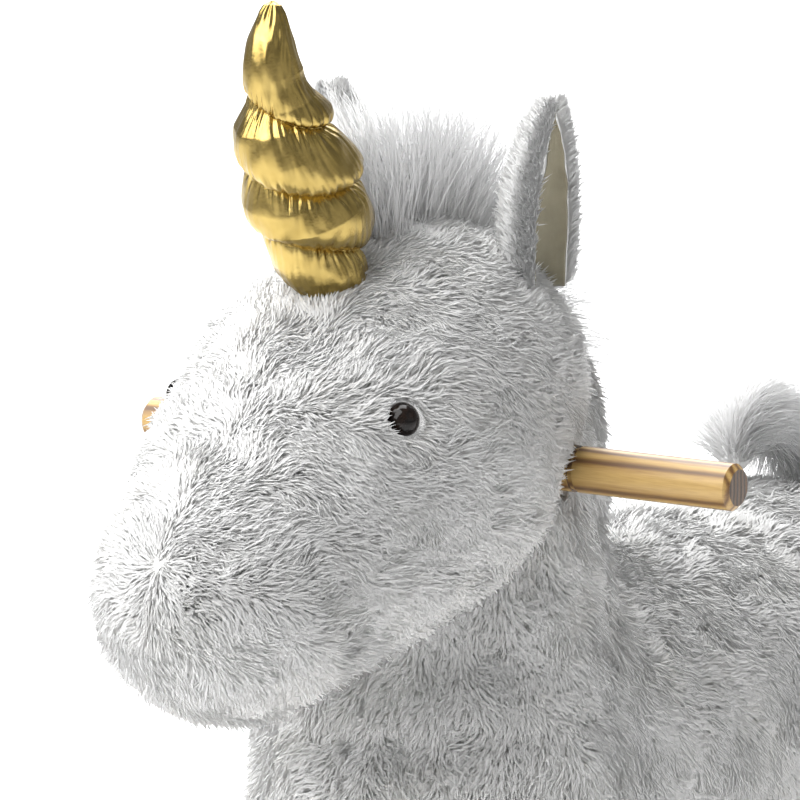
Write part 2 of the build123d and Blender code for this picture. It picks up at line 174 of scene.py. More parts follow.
class Shader:
    """A node tree under construction: one Principled shader and a few helpers that feed it."""

    def __init__(self, name, roughness, **values):
        self.material = bpy.data.materials.new(name)
        self.material.use_nodes = True
        self.tree = self.material.node_tree
        self.surface = self.tree.nodes["Principled BSDF"]
        self.set("Roughness", roughness)
        for key, value in values.items():
            self.set(key.replace("_", " "), value)

    def set(self, socket, value):
        self.surface.inputs[socket].default_value = value

    def node(self, kind, **settings):
        made = self.tree.nodes.new("ShaderNode" + kind)
        for key, value in settings.items():
            if key in made.inputs:
                made.inputs[key].default_value = value
            else:
                setattr(made, key, value)
        return made

    def link(self, source, target):
        self.tree.links.new(source, target)

    def place(self, scale=(1, 1, 1), uv=None):
        """Coordinates, stretched by scale: the object's own metres, or a named UV map."""
        mapping = self.node("Mapping")
        mapping.inputs["Scale"].default_value = scale
        if uv:
            source = self.node("UVMap", uv_map=uv).outputs["UV"]
        else:
            source = self.node("TexCoord").outputs["Object"]
        self.link(source, mapping.inputs["Vector"])
        return mapping.outputs["Vector"]

    def noise(self, vector, scale, detail=3.0, roughness=0.55, distortion=0.0):
        made = self.node("TexNoise", Scale=scale, Detail=detail, Roughness=roughness, Distortion=distortion)
        self.link(vector, made.inputs["Vector"])
        return made.outputs["Fac"]

    def ramp(self, value, stops):
        """Colours or greys along a value, each stop (position, colour)."""
        made = self.node("ValToRGB")
        band = made.color_ramp
        while len(band.elements) < len(stops):
            band.elements.new(0.5)
        for element, (position, colour) in zip(band.elements, stops):
            element.position = position
            element.color = (*colour, 1)
        self.link(value, made.inputs[0])
        return made.outputs["Color"]

    def mix(self, factor, a, b, blend="MIX"):
        made = self.node("MixRGB", blend_type=blend)
        for socket, value in zip(made.inputs, (factor, a, b)):
            if isinstance(value, (int, float)):
                socket.default_value = value
            elif isinstance(value, tuple):
                socket.default_value = (*value, 1)
            else:
                self.link(value, socket)
        return made.outputs[0]

    def bump(self, height, distance, strength=1.0):
        made = self.node("Bump", Distance=distance, Strength=strength)
        self.link(height, made.inputs["Height"])
        self.link(made.outputs["Normal"], self.surface.inputs["Normal"])

    def colour(self, socket):
        self.link(socket, self.surface.inputs["Base Color"])

    def roughness(self, socket):
        self.link(socket, self.surface.inputs["Roughness"])


def grey(value):
    return (value, value, value)


def floor_material():
    """Pale studio paper."""
    s = Shader("studio_paper", 0.9)
    s.colour(s.ramp(s.noise(s.place(), 40.0), [(0.3, grey(0.93)), (0.7, grey(0.95))]))
    return s.material


def fur_material(name, root, body, tip, warm):
    """Pile: u runs from root to tip of a tuft, darker toward the root as painted shade; v is the tuft's own
    tone.
    """
    s = Shader(name, 0.85, Sheen_Weight=0.25, Sheen_Roughness=0.5, Specular_IOR_Level=0.15)
    split = s.node("SeparateXYZ")
    s.link(s.place(uv="OFBake"), split.inputs[0])
    # painted shade: the colour is a little darker and warmer at the root than at the tip, standing in for
    # the shade at the foot of the pile
    along = s.ramp(split.outputs["X"], [(0.0, root), (0.4, body), (1.0, tip)])
    tone = s.ramp(split.outputs["Y"], [(0.0, warm), (0.45, (0.97, 0.97, 0.965)), (1.0, (1.0, 1.0, 1.0))])
    colour = s.mix(1.0, along, tone, "MULTIPLY")
    s.colour(colour)
    through = s.node("BsdfTranslucent")
    s.link(colour, through.inputs["Color"])
    both = s.node("MixShader")
    both.inputs["Fac"].default_value = 0.5
    s.link(s.surface.outputs[0], both.inputs[1])
    s.link(through.outputs[0], both.inputs[2])
    s.link(both.outputs[0], s.tree.nodes["Material Output"].inputs["Surface"])
    return s.material


def skin_material():
    """The knitted backing under the pile."""
    s = Shader("plush_backing", 0.95, Sheen_Weight=0.2)
    place = s.place()
    cloudy = s.ramp(s.noise(place, 60.0), [(0.3, (0.90, 0.895, 0.885)), (0.7, (0.94, 0.94, 0.935))])
    s.colour(cloudy)
    s.bump(s.noise(place, 900.0, 2.0), 0.0006)
    return s.material


def lame_material():
    """Gold metallic cloth: foil over a fine knit, with crease bumps and patchy gloss."""
    s = Shader("gold_lame", 0.22, Metallic=1.0)
    place = s.place()
    patches = s.noise(place, 90.0, 4.0)
    s.colour(s.ramp(patches, [(0.3, (0.34, 0.245, 0.075)), (0.7, (0.46, 0.34, 0.115))]))
    s.roughness(s.ramp(s.noise(place, 240.0, 5.0), [(0.3, grey(0.19)), (0.7, grey(0.27))]))
    creases = s.noise(place, 420.0, 6.0, 0.62)
    knit = s.node("TexVoronoi", Scale=2600.0)
    s.link(place, knit.inputs["Vector"])
    s.bump(s.mix(0.2, creases, knit.outputs["Distance"]), 0.0006, 0.3)
    return s.material


def thread_material():
    """Twisted gold thread, darker in the grooves of the twist as painted shade."""
    s = Shader("gold_thread", 0.4, Metallic=0.8)
    wave = s.node("TexWave", Scale=900.0, Distortion=1.5)
    s.link(s.place(), wave.inputs["Vector"])
    # painted shade: the waves that shape the twist also darken its grooves to brown
    s.colour(s.ramp(wave.outputs["Fac"], [(0.2, (0.30, 0.17, 0.03)), (0.8, (0.62, 0.42, 0.12))]))
    s.bump(wave.outputs["Fac"], 0.0004)
    return s.material


def lining_painted_shade_material():
    """Short-napped beige lining with a faint weave, darkened below its own beige as painted shade of the
    cupped ear.
    """
    s = Shader("ear_lining", 0.8, Sheen_Weight=0.35, Sheen_Roughness=0.4)
    place = s.place()
    # partly painted shade: the lining's own beige is darkened to stand in for the shade it sits in inside
    # the cup
    s.colour(s.ramp(s.noise(place, 70.0, 4.0), [(0.3, (0.33, 0.30, 0.215)), (0.7, (0.43, 0.395, 0.29))]))
    weave = s.node("TexWave", Scale=700.0, Distortion=1.0, bands_direction="Z")
    s.link(place, weave.inputs["Vector"])
    s.bump(s.mix(0.5, weave.outputs["Fac"], s.noise(place, 1500.0, 2.0)), 0.00025)
    return s.material


def eye_material():
    """Glossy black plastic with a trace of brown depth."""
    s = Shader("eye_gloss", 0.06, IOR=1.33)
    depth = s.noise(s.place(), 220.0)
    s.colour(s.ramp(depth, [(0.35, grey(0.004)), (0.75, (0.018, 0.010, 0.007))]))
    return s.material


def wood_material(name, along):
    """Oiled pine: growth lines drawn out along the grain, rings across the cut ends."""
    s = Shader(name, 0.42, Coat_Weight=0.25, Coat_Roughness=0.3)
    stretch = [26.0, 26.0, 26.0]
    stretch[along] = 1.5
    bands = "Y" if along != 1 else "X"
    place = s.place(tuple(stretch))
    growth = s.noise(place, 9.0, 5.0, 0.6, 0.6)
    wave = s.node("TexWave", Scale=2.6, Distortion=3.5, Detail=3.0, bands_direction=bands)
    s.link(place, wave.inputs["Vector"])
    wave.inputs["Detail Scale"].default_value = 1.6
    lines = s.mix(0.55, growth, wave.outputs["Fac"])
    side = s.ramp(
        lines,
        [
            (0.22, (0.11, 0.050, 0.014)),
            (0.40, (0.235, 0.130, 0.036)),
            (0.58, (0.35, 0.215, 0.066)),
            (0.80, (0.44, 0.29, 0.10)),
        ],
    )
    fine = s.noise(place, 60.0, 2.0)
    side = s.mix(0.22, side, s.ramp(fine, [(0.35, (0.35, 0.2, 0.08)), (0.6, grey(1.0))]), "MULTIPLY")
    rings = s.node("TexWave", Scale=95.0, Distortion=2.0, Detail=2.0, bands_direction=bands)
    s.link(s.place(), rings.inputs["Vector"])
    end = s.ramp(rings.outputs["Fac"], [(0.25, (0.035, 0.017, 0.008)), (0.75, (0.13, 0.07, 0.03))])
    geometry = s.node("NewGeometry")
    split = s.node("SeparateXYZ")
    s.link(geometry.outputs["Normal"], split.inputs[0])
    facing = s.node("Math", operation="ABSOLUTE")
    s.link(split.outputs[along], facing.inputs[0])
    cut = s.ramp(facing.outputs[0], [(0.86, grey(0.0)), (0.97, grey(1.0))])
    s.colour(s.mix(cut, side, end))
    s.roughness(s.ramp(fine, [(0.3, grey(0.36)), (0.7, grey(0.52))]))
    s.bump(s.mix(0.4, lines, fine), 0.0005, 0.5)
    return s.material


def steel_material():
    """Zinc-plated steel."""
    s = Shader("zinc_steel", 0.35, Metallic=1.0)
    place = s.place()
    s.colour(s.ramp(s.noise(place, 300.0), [(0.3, (0.46, 0.46, 0.45)), (0.7, (0.66, 0.66, 0.64))]))
    s.roughness(s.ramp(s.noise(place, 900.0), [(0.3, grey(0.28)), (0.7, grey(0.45))]))
    return s.material


def plastic_material():
    """Milky moulded plastic."""
    s = Shader("washer_plastic", 0.5)
    s.colour(s.ramp(s.noise(s.place(), 200.0), [(0.3, grey(0.78)), (0.7, grey(0.85))]))
    return s.material


# ---- Meshes from arrays ----------------------------------------------------------------------------


def mesh_object(name, verts, faces, material):
    """A mesh object from arrays; faces are all triangles or all quads."""
    faces = np.asarray(faces, np.int32)
    sides = faces.shape[1]
    mesh = bpy.data.meshes.new(name)
    mesh.vertices.add(len(verts))
    mesh.vertices.foreach_set("co", np.asarray(verts, np.float32).ravel())
    mesh.loops.add(faces.size)
    mesh.loops.foreach_set("vertex_index", faces.ravel())
    mesh.polygons.add(len(faces))
    mesh.polygons.foreach_set("loop_start", np.arange(0, faces.size, sides, dtype=np.int32))
    mesh.update(calc_edges=True)
    mesh.shade_smooth()
    mesh.materials.append(material)
    made = bpy.data.objects.new(name, mesh)
    bpy.context.scene.collection.objects.link(made)
    return made


def grid_faces(rows, columns, closed=True):
    """Quads of a rows x columns sheet of points, closed around its columns or not."""
    i, j = np.meshgrid(np.arange(rows - 1), np.arange(columns if closed else columns - 1), indexing="ij")
    near, far = j, (j + 1) % columns
    quads = [i * columns + near, i * columns + far, (i + 1) * columns + far, (i + 1) * columns + near]
    return np.stack(quads, -1).reshape(-1, 4)


def circles(side, other, angle):
    """Round each place, the directions at the given angles between two directions across it."""
    side, other = np.atleast_2d(side), np.atleast_2d(other)
    c, s = np.cos(angle)[None, :, None], np.sin(angle)[None, :, None]
    return c * side[:, None, :] + s * other[:, None, :]


def waves(points, wavelength, seed, count=7):
    """A smooth random field over points, about -1 to 1, made of waves in random directions."""
    random = np.random.default_rng(seed)
    total = np.zeros(len(points))
    for _ in range(count):
        direction = unit(random.normal(size=3)) * 2 * pi / (wavelength * random.uniform(0.6, 1.6))
        total += np.sin(points @ direction + random.uniform(0, 2 * pi))
    return total / count**0.5 / 1.2


# ---- Soft bodies as distance fields ----------------------------------------------------------------


def link_distance(points, a, b, radius_a, radius_b):
    """Signed distance from points to the skin around two balls."""
    axis = b - a
    length2 = axis @ axis
    step = radius_a - radius_b
    slant2 = length2 - step * step
    p = points - a
    y = p @ axis
    z = y - length2
    x2 = ((p * length2 - np.outer(y, axis)) ** 2).sum(1)
    y2 = y * y * length2
    z2 = z * z * length2
    k = np.sign(step) * step * step * x2
    side = (np.sqrt(x2 * slant2 / length2) + y * step) / length2 - radius_a
    far = np.sqrt(x2 + z2) / length2 - radius_b
    near = np.sqrt(x2 + y2) / length2 - radius_a
    return np.where(np.sign(z) * slant2 * z2 > k, far, np.where(np.sign(y) * slant2 * y2 < k, near, side))


def blend_union(a, b, width):
    """Two distances joined with a rounded valley of the given width."""
    h = np.clip(0.5 + 0.5 * (b - a) / width, 0, 1)
    return b + (a - b) * h - width * h * (1 - h)


def surface_net(field, low, high, step):
    """Quads over the zero level of a distance field, with points settled onto it."""
    axes = [np.arange(l, h + step, step) for l, h in zip(low, high)]
    grid = np.stack(np.meshgrid(*axes, indexing="ij"), -1)
    value = field(grid.reshape(-1, 3)).reshape(grid.shape[:3])
    inside = value < 0
    cells = tuple(n - 1 for n in value.shape)
    total = np.zeros(cells + (3,))
    count = np.zeros(cells)
    edges = []
    for axis in range(3):
        others = [k for k in range(3) if k != axis]
        head = [slice(None)] * 3
        tail = [slice(None)] * 3
        head[axis], tail[axis] = slice(0, -1), slice(1, None)
        a, b = value[tuple(head)], value[tuple(tail)]
        crossed = inside[tuple(head)] != inside[tuple(tail)]
        spots = np.argwhere(crossed)
        share = (a / np.where(a == b, 1, a - b))[crossed]
        where = grid[tuple(head)][crossed]
        where[:, axis] += share * step
        for first in (0, -1):
            for second in (0, -1):
                cell = spots.copy()
                cell[:, others[0]] += first
                cell[:, others[1]] += second
                np.add.at(total, tuple(cell.T), where)
                np.add.at(count, tuple(cell.T), 1)
        edges.append((axis, others, spots, inside[tuple(head)][crossed]))
    used = count > 0
    index = np.full(cells, -1)
    index[used] = np.arange(used.sum())
    points = total[used] / count[used][:, None]
    quads = []
    for axis, others, spots, starts_inside in edges:
        ring = []
        for first, second in ((0, 0), (-1, 0), (-1, -1), (0, -1)):
            cell = spots.copy()
            cell[:, others[0]] += first
            cell[:, others[1]] += second
            ring.append(index[tuple(cell.T)])
        quad = np.stack(ring, -1)
        turn = starts_inside if axis != 1 else ~starts_inside
        quad[~turn] = quad[~turn][:, ::-1]
        quads.append(quad)
    for _ in range(3):
        points -= field(points)[:, None] * slope(field, points)
    return points, np.concatenate(quads)


def slope(field, points, step=0.0005):
    """Unit gradient of a distance field."""
    sides = [field(points + step * e) - field(points - step * e) for e in np.eye(3)]
    return unit(np.stack(sides, -1))


PILE = 7.0  # depth of the pile in millimetres, taken off every radius below
head_droop = radians(23.8)
head_axis = np.array([0.0, -cos(head_droop), -sin(head_droop)])
head_over = np.array([0.0, -sin(head_droop), cos(head_droop)])
head_start = from_handle(0, -20, 33)


def along_head(station, over=0.0, x=0.0):
    """A place given in millimetres along the head's axis, over it, and to its left."""
    return head_start + (head_axis * station + head_over * over + np.array([x, 0, 0])) * MM


head_links = [
    (along_head(0), along_head(50), 85, 87),
    (along_head(50), along_head(167), 87, 64),
    (along_head(15, 6), along_head(95, 6), 84, 77),
]
cheek_links = [
    (along_head(38, -16, side * 14), along_head(150, -10, side * 8), 72, 50)
    for side in (-1, 1)
]
HEAD_VALLEY = 0.012


def head_field(points):
    """The head's backing cloth, one pile height inside the outer fur."""
    distance = None
    for a, b, radius_a, radius_b in head_links + cheek_links:
        one = link_distance(points, a, b, (radius_a - PILE) * MM, (radius_b - PILE) * MM)
        distance = one if distance is None else blend_union(distance, one, HEAD_VALLEY)
    return distance


torso_y = (8.0, 285.0)
leg_tops = {name: middle(f"leg_post_{name}") for name in leg_names}


def neck_distance(points):
    """Distance to the upright neck, wider at its foot."""
    top, foot = from_handle(0, 12, 5), from_handle(0, 12, -118)
    return link_distance(points, top, foot, (76 - PILE) * MM, (86 - PILE) * MM)


def torso_distance(points):
    """Distance to the level barrel, a little wider at the rump."""
    chest, rump = from_handle(0, torso_y[0], -157), from_handle(0, torso_y[1], -157)
    return link_distance(points, chest, rump, (96 - PILE) * MM, (100 - PILE) * MM)


def leg_distance(points, name):
    """Distance to one leg: a column that ends in a flat sole with a rounded edge."""
    foot = leg_tops[name].copy()
    foot[2] = slat_top
    radius = (40 - PILE) * MM
    top = foot + UP * 0.12
    column = link_distance(points, foot + UP * (radius * 0.98 + 0.002), top, radius, radius * 1.02)
    sole = link_distance(points, foot + UP * 0.014, foot + UP * 0.04, 0.012, 0.012)
    sole_edge = 0.010
    across = np.linalg.norm((points - foot)[:, :2], axis=1) - (radius - sole_edge)
    height = np.abs(points[:, 2] - foot[2] - 0.017) - 0.005
    within = np.minimum(np.maximum(across, height), 0)
    beyond = np.hypot(np.maximum(across, 0), np.maximum(height, 0))
    disc = within + beyond - sole_edge
    return np.minimum(column, np.minimum(disc, sole))


BODY_VALLEY, LEG_VALLEY = 0.022, 0.016
NECK_SEAM_DROP, NECK_SEAM_TILT = 0.118, 0.10
NECK_SEAM_DEPTH, NECK_SEAM_WIDTH = 0.0025, 0.008
CHEST_SEAM_DEPTH, CHEST_SEAM_WIDTH = 0.003, 0.006


def body_field(points):
    """Neck, barrel and legs as one stuffed skin, drawn in along the neck's foot and down the chest."""
    distance = blend_union(neck_distance(points), torso_distance(points), BODY_VALLEY)
    for name in leg_names:
        distance = blend_union(distance, leg_distance(points, name), LEG_VALLEY)
    seam_height = handle[2] - NECK_SEAM_DROP + NECK_SEAM_TILT * (points[:, 1] - handle[1])
    seam = np.abs(points[:, 2] - seam_height)
    front = points[:, 1] < handle[1] + 0.02
    fold = NECK_SEAM_DEPTH * np.exp(-((seam / NECK_SEAM_WIDTH) ** 2))
    distance = distance + np.where(front, fold, 0)
    chest = (points[:, 2] < handle[2] - NECK_SEAM_DROP) & (points[:, 1] < handle[1])
    fold = CHEST_SEAM_DEPTH * np.exp(-((points[:, 0] / CHEST_SEAM_WIDTH) ** 2))
    distance = distance + np.where(chest, fold, 0)
    return distance + 0.0022 * waves(points, 0.07, 5)


# ---- Fur -------------------------------------------------------------------------------------------


def scatter(points, quads, per_mm2, random):
    """Random places over a quad mesh, the same number to each area."""
    tris = np.concatenate([quads[:, [0, 1, 2]], quads[:, [0, 2, 3]]])
    a, b, c = (points[tris[:, k]] for k in range(3))
    cross = np.cross(b - a, c - a)
    area = np.linalg.norm(cross, axis=1) / 2
    count = int(area.sum() * 1e6 * per_mm2)
    pick = random.choice(len(tris), count, p=area / area.sum())
    u, v = random.random((2, count))
    flip = u + v > 1
    u[flip], v[flip] = 1 - u[flip], 1 - v[flip]
    return a[pick] + (b - a)[pick] * u[:, None] + (c - a)[pick] * v[:, None]


def turned(vectors, axes, angles):
    """Vectors turned about unit axes by angles."""
    c, s = np.cos(angles)[:, None], np.sin(angles)[:, None]
    return vectors * c + np.cross(axes, vectors) * s + axes * (axes * vectors).sum(1)[:, None] * (1 - c)


def nearest(points, centres):
    """For each point, the index of the nearest centre."""
    tree = KDTree(len(centres))
    for i, centre in enumerate(centres):
        tree.insert(centre, i)
    tree.balance()
    return np.array([tree.find(point)[1] for point in points])


SLIVER = np.array([[0, 2, 1], [3, 1, 2], [0, 1, 3], [0, 3, 2]])


def tuft_mesh(roots, mids, tips, across, width, tone, lie):
    """One closed sliver of four corners for each tuft: root, two shoulders and tip, shaded along lie."""
    count = len(roots)
    half = across * (width / 2)[:, None]
    verts = np.stack([roots, mids - half, mids + half, tips], 1).reshape(-1, 3)
    base = 4 * np.arange(count)[:, None, None]
    tris = (base + SLIVER).reshape(-1, 3)
    u = np.tile([0.02, 0.5, 0.5, 0.98], count)
    return verts, tris, np.stack([u, np.repeat(tone, 4)], 1), np.repeat(lie, 4, axis=0)


def fur_object(name, arrays, material):
    """A fur piece with its root-to-tip map."""
    verts, tris, uv, lie = arrays
    made = mesh_object(name, verts, tris, material)
    layer = made.data.uv_layers.new(name="OFBake")
    layer.data.foreach_set("uv", uv[tris.ravel()].astype(np.float32).ravel())
    made.data.normals_split_custom_set_from_vertices(unit(lie).tolist())
    return made


def grow(field, points, quads, flow, seed, per_mm2=1.3, length=9.0, width=0.8, keep=None, lift=0.42):
    """Tufts over a stuffed skin, lying along flow, gathered into locks, where keep allows."""
    random = np.random.default_rng(seed)
    roots = scatter(points, quads, per_mm2, random)
    if keep is not None:
        roots = roots[keep(roots)]
    normal = slope(field, roots)
    count = len(roots)
    direction = flow(roots)
    swirl = 0.8 * waves(roots, 0.05, seed + 1) + 0.7 * waves(roots, 0.018, seed + 2)
    direction = turned(direction, normal, swirl + random.normal(0, 0.34, count))
    direction = unit(direction - normal * (direction * normal).sum(1)[:, None])
    rise = lift + 0.22 * waves(roots, 0.02, seed + 3) + random.normal(0, 0.10, count)
    stray = random.random(count) < 0.10
    rise = np.clip(rise + 0.5 * stray, 0.10, 1.15)
    share = 1 + 0.14 * waves(roots, 0.03, seed + 4) + random.normal(0, 0.13, count)
    size = length * MM * np.clip(share, 0.5, 1.4)
    lean = unit(direction * np.cos(rise)[:, None] + normal * np.sin(rise)[:, None])
    tips = roots + lean * size[:, None] - UP * (size * 0.10)[:, None]
    locks = roots[random.choice(count, max(8, int(count * 0.026)), replace=False)]
    owner = nearest(roots, locks)
    order = np.argsort(owner, kind="stable")
    starts = np.searchsorted(owner[order], np.arange(len(locks)))
    heads = np.add.reduceat(tips[order], np.minimum(starts, count - 1), axis=0)
    sizes = np.maximum(np.diff(np.append(starts, count)), 1)
    heads /= sizes[:, None]
    pull = np.clip(random.normal(0.2, 0.12, count), 0.0, 0.8)[:, None]
    tips = tips + (heads[owner] - tips) * pull
    middles = roots + (tips - roots) * 0.45 + normal * (size * 0.13)[:, None]
    across = unit(np.cross(tips - roots, normal))
    across = turned(across, unit(tips - roots), random.normal(0, 0.15, count))
    tone = np.clip(0.62 + 0.22 * waves(roots, 0.05, seed + 6) + random.normal(0, 0.16, count), 0.02, 0.98)
    wide = random.uniform(0.75, 1.2, count) * width * MM
    face = np.cross(across, unit(tips - roots))
    outward = np.sign((face * normal).sum(1))[:, None]
    lie = unit(normal + 0.12 * face * outward)
    return tuft_mesh(roots - normal * 0.0006, middles, tips, across, wide, tone, lie)


MOST_TRIS = 196000
BURIED = 0.004  # a root deeper than this in the other skin grows no hair


def fur_pieces(name, arrays, material, place):
    """Cut a growth of fur into pieces of at most MOST_TRIS triangles, in the order that place gives."""
    verts, tris, uv, lie = arrays
    tufts = len(tris) // 4
    parts = -(-len(tris) // MOST_TRIS)
    order = np.argsort(place(verts[::4]), kind="stable")
    made = []
    for number, chosen in enumerate(np.array_split(order, parts), 1):
        corner = (chosen[:, None] * 4 + np.arange(4)).ravel()
        base = 4 * np.arange(len(chosen))[:, None, None]
        cut = (verts[corner], (base + SLIVER).reshape(-1, 3), uv[corner], lie[corner])
        made.append(fur_object(f"{name}_{number}", cut, material))
    return made


def clear_of_bar(points, margin=0.001):
    """True where a place isn't inside the handle bar."""
    reach = np.hypot(points[:, 1] - handle[1], points[:, 2] - handle[2])
    return reach > handle_radius + margin


def drop_tufts(arrays, allowed):
    """Leave out the tufts with any corner where allowed is false."""
    verts, tris, uv, lie = arrays
    good = allowed(verts).reshape(-1, 4).all(1)
    corner = np.repeat(good, 4)
    count = good.sum()
    base = 4 * np.arange(count)[:, None, None]
    return verts[corner], (base + SLIVER).reshape(-1, 3), uv[corner], lie[corner]


eye_places = {}
for side_name in ("left", "right"):
    eye_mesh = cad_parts[f"eye_{side_name}"].data
    eye_points = np.array([v.co for v in eye_mesh.vertices])
    outer = np.abs(eye_points[:, 0]) > np.abs(eye_points[:, 0]).max() - 0.006
    eye_places[side_name] = eye_points[outer].mean(0)


EYE_BARE_ROOTS, EYE_BARE_TIPS = 8.1, 9.6


def clear_of_eyes(points, radius):
    """True where a place is more than radius millimetres from both eyes."""
    ok = np.ones(len(points), bool)
    for place in eye_places.values():
        ok &= np.linalg.norm(points - place, axis=1) > radius * MM
    return ok


def add_head(backing, fur):
    """The stuffed head and its pile."""
    low = np.array([-0.1, handle[1] - 0.245, handle[2] - 0.11])
    high = np.array([0.1, handle[1] + 0.08, handle[2] + 0.13])
    points, quads = surface_net(head_field, low, high, 0.004)
    skin = mesh_object("head_plush", points, quads, backing)
    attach(skin, "body")
    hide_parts("head_cover", "head_stuffing")

    def flow(roots):
        side = np.tanh(roots[:, 0] / 0.03)[:, None] * np.array([1.0, 0, 0])
        return -head_axis * 0.75 - UP * 0.55 + side * 0.3

    def keep(roots):
        return (body_field(roots) > -BURIED) & clear_of_eyes(roots, EYE_BARE_ROOTS)

    arrays = grow(head_field, points, quads, flow, 11, keep=keep)
    arrays = drop_tufts(arrays, lambda v: clear_of_bar(v) & clear_of_eyes(v, EYE_BARE_TIPS))
    for piece in fur_pieces("head_fur", arrays, fur, lambda p: p[:, 0]):
        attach(piece, "body")


def add_body(backing, fur):
    """The neck, barrel and legs in one skin, and their pile."""
    low = np.array([-0.115, handle[1] - 0.11, slat_top - 0.004])
    high = np.array([0.115, handle[1] + 0.40, handle[2] + 0.09])
    points, quads = surface_net(body_field, low, high, 0.0045)
    skin = mesh_object("body_plush", points, quads, backing)
    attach(skin, "body")
    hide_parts("neck_cover", "neck_stuffing", "torso_cover", "torso_stuffing")
    for name in leg_names:
        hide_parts(f"leg_cover_{name}", f"leg_stuffing_{name}")

    def flow(roots):
        rear = np.clip((roots[:, 1] - handle[1]) / 0.09, 0, 1)[:, None]
        side = np.tanh(roots[:, 0] / 0.03)[:, None] * np.array([1.0, 0, 0])
        return np.array([0, 0.55, 0]) * rear - UP * 0.8 + side * 0.2

    def keep(roots):
        return (head_field(roots) > -BURIED) & (roots[:, 2] > slat_top + 0.001)

    arrays = grow(body_field, points, quads, flow, 29, per_mm2=0.9, width=0.95, length=9.5, keep=keep)
    arrays = drop_tufts(arrays, lambda v: clear_of_bar(v) & (v[:, 2] > slat_top + 0.0005))
    for piece in fur_pieces("body_fur", arrays, fur, lambda p: p[:, 1]):
        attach(piece, "body")


# ---- Long hair: mane and tail ----------------------------------------------------------------------


def strand_mesh(paths, width, tone, lie):
    """Three-sided hairs along paths (count x rings x 3), thinning to a point."""
    count, rings = paths.shape[:2]
    heading = unit(np.gradient(paths, axis=1))
    side = unit(np.cross(heading, np.array([0.31, 0.22, 0.12])))
    other = np.cross(heading, side)
    taper = 1 - 0.75 * np.linspace(0, 1, rings) ** 1.5
    radius = width[:, None] / 2 * taper[None, :]
    verts = []
    for angle in (0, 2 * pi / 3, 4 * pi / 3):
        verts.append(paths + (side * cos(angle) + other * sin(angle)) * radius[..., None])
    verts = np.stack(verts, 2)
    verts[:, -1] = paths[:, -1:, :] + (verts[:, -1] - paths[:, -1:, :]) * 0.1
    per = rings * 3
    faces = []
    for ring in range(rings - 1):
        for k in range(3):
            a, b = ring * 3 + k, ring * 3 + (k + 1) % 3
            faces += [(a, b, b + 3), (a, b + 3, a + 3)]
    faces += [(2, 1, 0), (per - 3, per - 2, per - 1)]
    tris = (per * np.arange(count)[:, None, None] + np.array(faces)).reshape(-1, 3)
    u = np.tile(np.repeat(np.linspace(0.02, 0.98, rings), 3), count)
    lie = np.repeat(lie, per, axis=0)
    return verts.reshape(-1, 3), tris, np.stack([u, np.repeat(tone, per)], 1), lie


def hair_paths(roots, heading, length, droop, curl, rings, random):
    """Bent hairs: each starts along its heading, droops, and wanders by curl."""
    count = len(roots)
    step = np.linspace(0, 1, rings)[None, :, None]
    phase = random.uniform(0, 2 * pi, (count, 1, 1))
    side = unit(np.cross(heading, random.normal(size=(count, 3))))[:, None, :]
    path = roots[:, None, :] + heading[:, None, :] * length[:, None, None] * step
    path = path - UP * (droop * length)[:, None, None] * step**2
    return path + side * (curl * length)[:, None, None] * (np.sin(phase + 3.2 * step) - np.sin(phase)) * step


def add_mane(hair):
    """Long upright strands along the crown and down the nape."""
    random = np.random.default_rng(41)
    count = 5200
    brow_turn, nape_turn = radians(125.0), radians(-38.0)
    arc = random.random(count) ** 0.9
    turn = brow_turn * (1 - arc) + nape_turn * arc
    centre = from_handle(0, -4, 28)
    ahead = np.stack([np.zeros(count), np.cos(turn), np.sin(turn)], -1)
    roots = centre + ahead * 0.2
    for _ in range(60):
        gap = np.minimum(head_field(roots), neck_distance(roots))
        roots -= ahead * np.clip(gap, -0.01, 0.01)[:, None]
    above = body_field(roots) > -BURIED
    arc, ahead, roots = arc[above], ahead[above], roots[above]
    count = len(roots)
    roots[:, 0] += random.normal(0, 0.0065, count).clip(-0.014, 0.014)
    roots -= ahead * 0.003
    spread = np.stack([roots[:, 0] * 22, 0 * arc, 0 * arc], -1)
    heading = unit(ahead + spread + random.normal(0, 0.11, (count, 3)))
    length = (82 - 38 * arc + random.normal(0, 8, count)).clip(20, 96) * MM
    wisps = random.random(count) < 0.05
    length[wisps] *= 1.15
    curl = 0.07 + 0.06 * random.random(count)
    paths = hair_paths(roots, heading, length, 0.10 + 0.35 * arc, curl, 7, random)
    sideways = np.stack([np.sign(roots[:, 0]), 0 * arc, 0 * arc], -1)
    lie = unit(ahead * 0.6 + sideways + random.normal(0, 0.2, (count, 3)))
    arrays = strand_mesh(paths, random.uniform(0.3, 0.6, count) * MM, random.uniform(0.3, 1.0, count), lie)
    piece = fur_object("mane_hair", arrays, hair)
    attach(piece, "body")
    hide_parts("mane")


TAIL_LINE = [
    (288, -54), (287, -38), (296, -26), (318, -24),
    (346, -34), (370, -58), (387, -88), (396, -116),
]
TAIL_REACH = 0.86  # share of the line that hairs grow from
TAIL_CORE_REACH, TAIL_CORE_RADIUS = 0.8, 0.008


